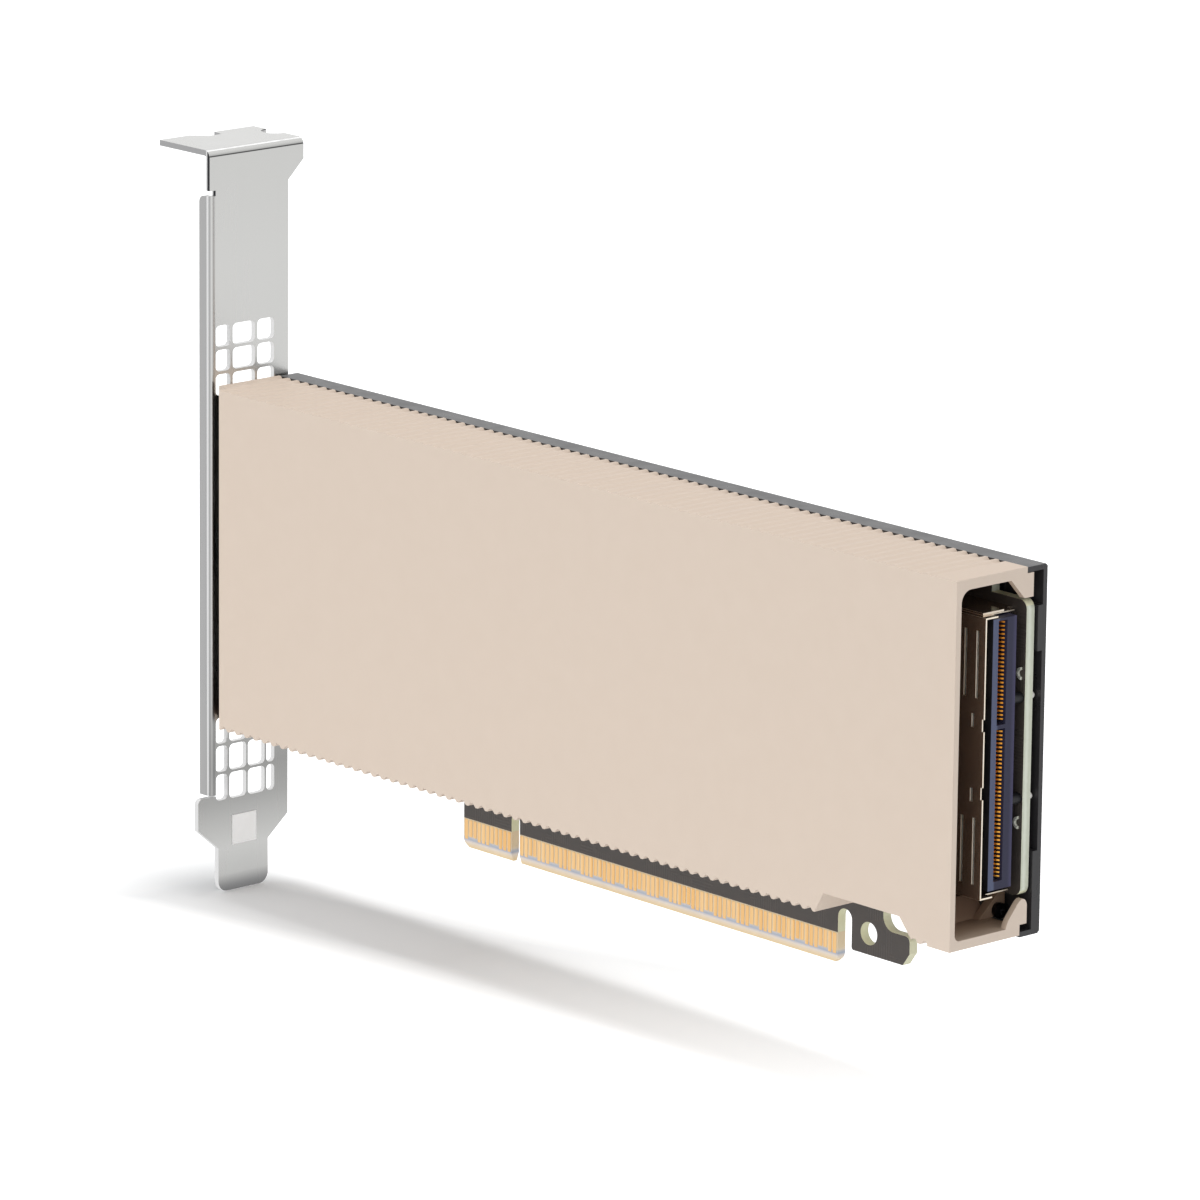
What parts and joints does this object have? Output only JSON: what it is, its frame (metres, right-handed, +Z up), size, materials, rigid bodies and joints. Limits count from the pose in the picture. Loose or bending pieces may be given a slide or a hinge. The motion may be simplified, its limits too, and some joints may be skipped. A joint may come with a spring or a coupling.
{
  "type": "ethernet adapter card",
  "caption": "Half-length network adapter card with a full-height bracket, a ribbed heat sink cover over the whole component side, module ports and an auxiliary connector.",
  "frame": {"origin": "on the board's component face, at the middle of the key notch, at the level of the card edge's lower side", "axes": "+X along the card edge from the bracket towards the open end, +Y from the component side to the solder side, +Z up from the card edge to the top of the card"},
  "size_m": [0.1799, 0.0215, 0.12],
  "materials": {
    "plated_steel": "bright nickel plate",
    "label_paper": "blank white sticker",
    "cover_metal": "champagne, fine satin",
    "plate_metal": "dark grey satin",
    "board_laminate": "black solder mask over glass laminate",
    "contact_gold": "gold plated",
    "film": "thin black film",
    "dark_screws": "black zinc",
    "steel_screws": "zinc plated",
    "cage_metal": "tin plated sheet",
    "black_plastic": "moulded black plastic",
    "bare_aluminium": "extruded, bare",
    "light_guide": "clear moulded plastic",
    "light_chip": "clear resin",
    "substrate": "green chip substrate",
    "chip_lid": "nickel plated copper",
    "thermal_pad": "soft grey pad",
    "ferrite": "pressed ferrite",
    "capacitor_resin": "moulded dark resin",
    "ceramic": "fired ceramic",
    "connector_plastic": "moulded blue-grey plastic",
    "shield_metal": "bright plated shield",
    "peg_plastic": "moulded pale plastic"
  },
  "bodies": {
    "root": {"bracket": "plated_steel", "bracket_label": "label_paper", "heat_sink_cover": "cover_metal", "back_plate": "plate_metal", "circuit_board": "board_laminate", "edge_contacts_front": "contact_gold", "edge_contacts_back": "contact_gold", "port_contacts_upper": "contact_gold", "port_contacts_lower": "contact_gold", "aux_contacts_near": "contact_gold", "aux_contacts_far": "contact_gold", "insulating_film": "film", "cover_screws": "dark_screws", "end_screw": "dark_screws", "bracket_screws": "steel_screws", "core_screws": "steel_screws", "port_cage_upper": "cage_metal", "port_cage_lower": "cage_metal", "port_gasket_upper": "cage_metal", "port_gasket_lower": "cage_metal", "port_clip_upper": "cage_metal", "port_clip_lower": "cage_metal", "port_connector_upper": "black_plastic", "port_connector_lower": "black_plastic", "flash_chip": "black_plastic", "power_stages": "black_plastic", "port_heat_sink_upper": "bare_aluminium", "port_heat_sink_lower": "bare_aluminium", "heat_sink_core": "bare_aluminium", "light_pipes": "light_guide", "status_leds": "light_chip", "controller_substrate": "substrate", "controller_lid": "chip_lid", "clock_oscillator": "chip_lid", "chip_thermal_pad": "thermal_pad", "power_inductors": "ferrite", "bulk_capacitors": "capacitor_resin", "ceramic_capacitors": "ceramic", "aux_connector_housing": "connector_plastic", "aux_connector_shell": "shield_metal", "aux_board_locks": "shield_metal", "aux_guide_pins": "peg_plastic"}
  },
  "joints": []
}
